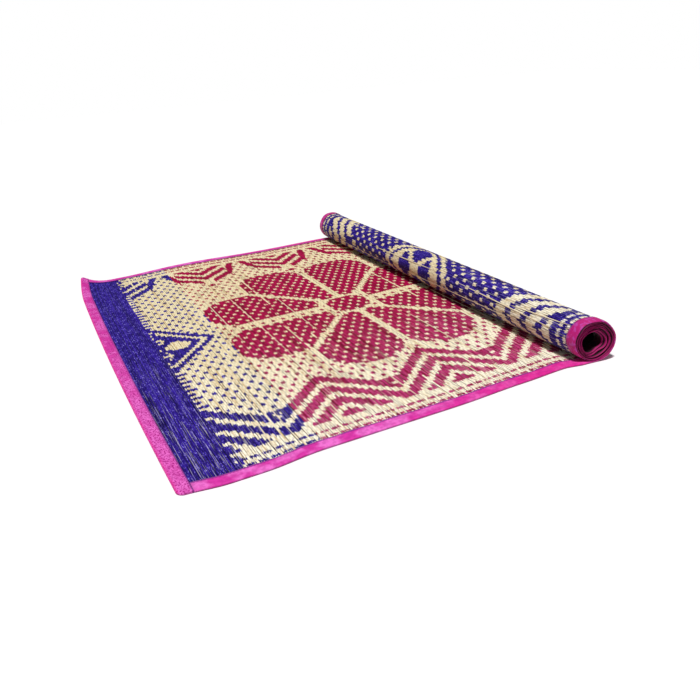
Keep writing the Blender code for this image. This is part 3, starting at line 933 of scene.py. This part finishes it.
class GrassMatStage(bpy.types.PropertyGroup):
    """The camera's lens, turn and place."""
    lens: FloatProperty(name="Lens", description="Focal length on a 36 mm sensor, in mm", default=35.05)
    yaw: FloatProperty(name="Yaw", description="Turn of the view to the right of +Y",
                       default=math.radians(25.307), subtype="ANGLE")
    pitch: FloatProperty(name="Pitch", description="How far the camera looks down",
                         default=math.radians(23.963), subtype="ANGLE")
    roll: FloatProperty(name="Roll", description="Tilt of the camera", default=math.radians(-3.971),
                        subtype="ANGLE")
    place: FloatVectorProperty(name="Place", description="The camera's place", subtype="TRANSLATION",
                               default=(-0.4099, -1.1020, 0.4424))


# Pieces

class GRASSMAT_OT_cloth(bpy.types.Operator):
    """Weaves the cloth: the flat stretch with the roll's outer turn, and the turns inside"""
    bl_idname = "grass_mat.cloth"
    bl_label = "Woven Cloth"

    def execute(self, context):
        sizes = context.scene.grass_mat_sizes
        material = shared("handloomed_korai_sedge", woven_sedge)
        half = REED_PITCH / 2.0
        start = CLOTH_INSET
        # Two columns a reed where the cloth is seen, and fewer where it is hidden
        halves = np.round(np.arange(start + REED_PITCH, FACE_END, half) / half) * half
        hidden = np.arange(FACE_END + 0.004, OUTER_END, 0.0065)
        face = np.concatenate([[start], halves, hidden, [OUTER_END]])
        wholes = np.round(np.arange(REED_PITCH, ROLL_START, REED_PITCH) / REED_PITCH) * REED_PITCH
        outer = np.arange(round(ROLL_START / REED_PITCH) * REED_PITCH + half, OUTER_END, half)
        under = np.concatenate([[start], wholes, outer, [OUTER_END]])
        flat = cloth_shell("woven_cloth", face, under, np.arange(WARPS + 1), sizes.seed)
        cloth = laid_piece("woven_cloth", flat, material, sizes.float_relief, sizes.gap_depth)
        hand_over(cloth, "woven_sedge", "grass_panel")

        turns = np.arange(float(np.interp(OUTER_END, TURN_TABLE[1], TURN_TABLE[0])), TURNS, 1.0 / 26.0)
        columns = np.append(along_at(turns), MAT_LENGTH)
        edge = np.array([0, 1, 2, 4])
        warps = np.concatenate([edge, np.arange(10, WARPS - 9, 10), WARPS - edge[::-1]])
        flat = cloth_shell("wound_cloth", columns, columns, warps, sizes.seed)
        wound = laid_piece("wound_cloth", flat, material)
        hand_over(wound, "woven_sedge")
        return {"FINISHED"}


def fold_profile(width, half_height):
    """The folded tape's outer skin as (inset, height): over the face, round the edge and under."""
    bend = FOLD_BEND
    angles = np.linspace(0.0, math.pi / 2.0, 6)[1:]
    over = [(inset, half_height) for inset in (width, width * 0.8, width * 0.6, width * 0.4, bend)]
    over += [(bend * (1.0 - math.sin(angle)), half_height * math.cos(angle)) for angle in angles]
    return over + [(inset, -height) for inset, height in reversed(over[:-1])]


def skin_mesh(name, points):
    """Quads over a grid of flat points, given as a list of profiles."""
    points = np.array(points)
    mesh = plain_mesh(name, points.reshape(-1, 3), grid_faces(*points.shape[:2]))
    flat_uv(mesh)
    return mesh


def thickened(mesh, thickness):
    """The skin given the tape's thickness on its inner side."""
    piece = add_object(mesh.name + "_skin", mesh)
    solid = piece.modifiers.new("Thickness", "SOLIDIFY")
    solid.thickness = thickness
    solid.offset = -1.0
    evaluated = piece.evaluated_get(bpy.context.evaluated_depsgraph_get())
    result = bpy.data.meshes.new_from_object(evaluated)
    result.name = mesh.name
    bpy.data.objects.remove(piece)
    return result


def tape_columns():
    """Places along the mat where a long tape has a profile."""
    flat = np.arange(END_TAPE_WIDTH + CLEARANCE, AXIS_MID, 0.006)
    return np.concatenate([flat, along_at(np.arange(0.02, TURNS, 1.0 / 36.0)), [MAT_LENGTH]])


def side_tape(name, side, material):
    """Tape folded over one long edge, along the flat stretch and every turn of the roll."""
    source = np.random.default_rng(11 + side)
    profile = fold_profile(SIDE_TAPE_WIDTH, TAPE_HALF)
    points = []
    for along in tape_columns():
        wave = 0.0005 * math.sin(along * 95.0 + side) + 0.0004 * source.normal()
        row = []
        for inset, height in profile:
            reach = inset + wave * (inset / SIDE_TAPE_WIDTH) ** 2
            row.append((along, side * (HALF_WIDTH - reach), height))
        points.append(row if side > 0 else row[::-1])
    mesh = thickened(skin_mesh(name, points), TAPE_THICKNESS)
    return laid_piece(name, mesh, material)


def end_tape(name, material):
    """Tape folded over the free end, closed around its two rounded corners."""
    profile = fold_profile(END_TAPE_WIDTH, 1.0)
    insets = [0.0, 0.0004, 0.0012, 0.0025, 0.0045, 0.0065, 0.009]
    across = [-HALF_WIDTH + inset for inset in insets]
    across += list(np.linspace(-HALF_WIDTH + 0.018, HALF_WIDTH - 0.018, 110))
    across += [HALF_WIDTH - inset for inset in reversed(insets)]
    points = []
    for y in across:
        inset = HALF_WIDTH - abs(y)
        pull = float(corner_pull(inset))
        rim = min(inset / 0.0016, 1.0)
        half_height = TAPE_HALF * math.sqrt(max(0.0, 1.0 - (1.0 - rim) ** 2)) + 1e-5
        row = [(pull + place * (END_TAPE_WIDTH - pull) / END_TAPE_WIDTH, y, height * half_height)
               for place, height in profile]
        points.append(row)
    mesh = thickened(skin_mesh(name, points), TAPE_THICKNESS)
    return laid_piece(name, mesh, material)


class GRASSMAT_OT_tape(bpy.types.Operator):
    """Folds the binding tape over the long edges and the free end"""
    bl_idname = "grass_mat.tape"
    bl_label = "Binding Tape"

    def execute(self, context):
        material = shared("polyester_binding_tape", tape_cloth)
        for name, side, node in (("near_tape", -1, "binding_near"), ("far_tape", 1, "binding_far")):
            tape = side_tape(name, side, material)
            hand_over(tape, "binding_tape", node)
        tape = end_tape("free_end_tape", material)
        hand_over(tape, "binding_tape", "binding_end")
        return {"FINISHED"}


def point_mesh(name, points, headings):
    """Loose points that stitches are set on, each with its heading."""
    mesh = plain_mesh(name, points, [])
    store(mesh, "heading", "FLOAT", "POINT", headings)
    return mesh


class GRASSMAT_OT_stitches(bpy.types.Operator):
    """Sews the tape down along its inner edges"""
    bl_idname = "grass_mat.stitches"
    bl_label = "Stitches"

    def execute(self, context):
        sizes = context.scene.grass_mat_sizes
        seam = 0.0028
        height = TAPE_HALF + 0.00005
        along = np.arange(END_TAPE_WIDTH + 0.004, along_at(0.93), sizes.stitch_pitch)
        across = np.arange(-HALF_WIDTH + 0.012, HALF_WIDTH - 0.012, sizes.stitch_pitch)
        for name, side in (("near_stitches", -1), ("far_stitches", 1), ("end_stitches", 0)):
            points, headings = [], []
            for z in (height, -height + 0.00025):
                if side:
                    points += [(x, side * (HALF_WIDTH - SIDE_TAPE_WIDTH + seam), z) for x in along]
                    headings += [0.0] * len(along)
                else:
                    points += [(END_TAPE_WIDTH - seam, y, z) for y in across]
                    headings += [math.pi / 2.0] * len(across)
            values = {"Mat surface": bpy.data.objects["mat_surface"], "Length": sizes.stitch_length,
                      "Width": 0.0007, "Height": 0.0006, "Unevenness": 0.2, "Seed": sizes.seed,
                      "Material": shared("cotton_sewing_thread", sewing_thread)}
            tree = shared("stitch_rows", stitch_tree)
            piece = grown(name, point_mesh(name, points, headings), tree, values)
            piece.data.shade_smooth()
            hand_over(piece, "binding_tape")
        return {"FINISHED"}


# Reeds that stand off the cloth: place along the mat, start and end across it, slant, side
LOOSE_REEDS = (
    (0.1290, -0.425, -0.300, 0.0030, 1), (0.1610, -0.420, -0.180, -0.0020, 1),
    (0.2050, -0.080, 0.290, 0.0016, 1), (0.2530, -0.170, 0.260, -0.0016, 1),
    (0.2310, -0.428, -0.330, 0.0040, 1), (0.3290, -0.100, 0.130, 0.0016, 1),
    (0.3460, -0.427, -0.240, -0.0030, 1), (0.4530, -0.426, -0.350, 0.0035, 1),
    (0.4950, -0.330, -0.120, 0.0025, 1), (0.7420, -0.431, -0.300, 0.0075, -1),
    (0.7560, -0.400, -0.150, -0.0050, -1), (0.7700, -0.300, 0.020, 0.0040, -1),
    (0.7480, -0.080, 0.160, 0.0045, -1), (0.7790, 0.100, 0.330, -0.0050, -1),
)


class GRASSMAT_OT_loose_reeds(bpy.types.Operator):
    """Adds the few split reeds that have worked loose and stand off the cloth"""
    bl_idname = "grass_mat.loose_reeds"
    bl_label = "Loose Reeds"

    def execute(self, context):
        sides, stations = 6, 30
        points, faces = [], []
        for along, start, end, slant, side in LOOSE_REEDS:
            first = len(points)
            for step in range(stations):
                share = step / (stations - 1)
                width = 0.0009 * math.sqrt(max(0.02, math.sin(math.pi * share)))
                rise = PANEL_THICKNESS / 2.0 + 0.0002 + 0.0004 * math.sin(math.pi * share)
                for corner in range(sides):
                    angle = math.tau * corner / sides
                    points.append((along + slant * share + width * math.cos(angle),
                                   start + (end - start) * share, side * rise + 0.0004 * math.sin(angle)))
            for step in range(stations - 1):
                for corner in range(sides):
                    low = first + step * sides
                    after = (corner + 1) % sides
                    faces.append((low + corner, low + after, low + sides + after, low + sides + corner))
            faces.append(tuple(first + corner for corner in reversed(range(sides))))
            faces.append(tuple(first + (stations - 1) * sides + corner for corner in range(sides)))
        mesh = plain_mesh("loose_reeds", points, [face[::-1] for face in faces])
        flat_uv(mesh)
        reeds = laid_piece("loose_reeds", mesh, shared("dry_split_reed", split_reed))
        hand_over(reeds, "woven_sedge")
        return {"FINISHED"}


def floor_paint():
    """Matt white paint on the studio floor, very slightly uneven."""
    material, tree, shader = new_material("painted_studio_floor")
    mottle = grain(tree, add_node(tree, "TexCoord").node.outputs["Object"], (300.0, 300.0))
    colour = add_node(tree, "Mix", (mottle, hex_colour("#f2f2f2"), hex_colour("#f8f8f8")), **COLOURS)
    feed(shader, {"Base Color": colour, "Roughness": 0.9})
    return material


def surround():
    """Even pale light from all around, in front of a white backdrop."""
    world = bpy.data.worlds.new("studio")
    bpy.context.scene.world = world
    world.use_nodes = True
    tree = world.node_tree
    seen = add_node(tree, "LightPath").node.outputs["Is Camera Ray"]
    strength = add_node(tree, "Math.MULTIPLY_ADD", (seen, BACKDROP - AMBIENT, AMBIENT))
    feed(tree.nodes["Background"], {"Color": (1.0, 1.0, 1.0), "Strength": strength})


def sun(name, come_from, strength, softness):
    """A soft light from one side, even over the whole floor."""
    light = bpy.data.lights.new(name, "SUN")
    light.energy = strength
    light.angle = math.radians(softness)
    lamp = bpy.data.objects.new(name, light)
    bpy.context.scene.collection.objects.link(lamp)
    lamp.rotation_euler = Vector(come_from).to_track_quat("Z", "Y").to_euler()


class GRASSMAT_OT_stage(bpy.types.Operator):
    """Adds the floor, the studio light and the camera"""
    bl_idname = "grass_mat.stage"
    bl_label = "Stage"

    def execute(self, context):
        stage = context.scene.grass_mat_stage
        corners = [(x, y, 0.0) for x, y in ((-6, -6), (6, -6), (6, 6), (-6, 6))]
        floor = add_object("floor", plain_mesh("floor", corners, [(0, 1, 2, 3)]))
        floor.data.materials.append(shared("painted_studio_floor", floor_paint))
        surround()
        sun("key", (-0.12, -0.12, 1.0), KEY, 9.0)
        context.scene.view_settings.view_transform = "Standard"

        level = math.cos(stage.pitch)
        forward = Vector((math.sin(stage.yaw) * level, math.cos(stage.yaw) * level,
                          -math.sin(stage.pitch)))
        right = Vector((math.cos(stage.yaw), -math.sin(stage.yaw), 0.0))
        up = right.cross(forward)
        across = right * math.cos(stage.roll) + up * math.sin(stage.roll)
        upward = up * math.cos(stage.roll) - right * math.sin(stage.roll)
        camera = bpy.data.objects.new("camera", bpy.data.cameras.new("camera"))
        context.scene.collection.objects.link(camera)
        turned = Matrix((across, upward, -forward)).transposed().to_4x4()
        camera.matrix_world = Matrix.Translation(stage.place) @ turned
        camera.data.lens = stage.lens
        context.scene.camera = camera
        return {"FINISHED"}


class GRASSMAT_PT_panel(bpy.types.Panel):
    """Lists the mat's pieces and settings"""
    bl_label = "Grass Mat"
    bl_idname = "GRASSMAT_PT_panel"
    bl_space_type = "VIEW_3D"
    bl_region_type = "UI"
    bl_category = "Grass Mat"

    def draw(self, context):
        for operator in OPERATORS:
            self.layout.operator(operator.bl_idname)
        for name in GROUPS:
            group = getattr(context.scene, name)
            for label in group.bl_rna.properties.keys()[2:]:
                self.layout.prop(group, label)


GROUPS = {"grass_mat_sizes": GrassMatSizes, "grass_mat_colours": GrassMatColours,
          "grass_mat_stage": GrassMatStage}
OPERATORS = (GRASSMAT_OT_cloth, GRASSMAT_OT_tape, GRASSMAT_OT_stitches, GRASSMAT_OT_loose_reeds,
             GRASSMAT_OT_stage)
CLASSES = (*GROUPS.values(), *OPERATORS, GRASSMAT_PT_panel)


def register():
    for entry in CLASSES:
        bpy.utils.register_class(entry)
    for name, group in GROUPS.items():
        setattr(bpy.types.Scene, name, PointerProperty(type=group))


def unregister():
    for name in GROUPS:
        delattr(bpy.types.Scene, name)
    for entry in reversed(CLASSES):
        bpy.utils.unregister_class(entry)


def main():
    register()
    mat_surface()
    bpy.ops.grass_mat.stage()
    bpy.ops.grass_mat.cloth()
    bpy.ops.grass_mat.tape()
    bpy.ops.grass_mat.stitches()
    bpy.ops.grass_mat.loose_reeds()
    bpy.data.objects.remove(bpy.data.objects["mat_surface"])


if __name__ == "__main__":
    main()
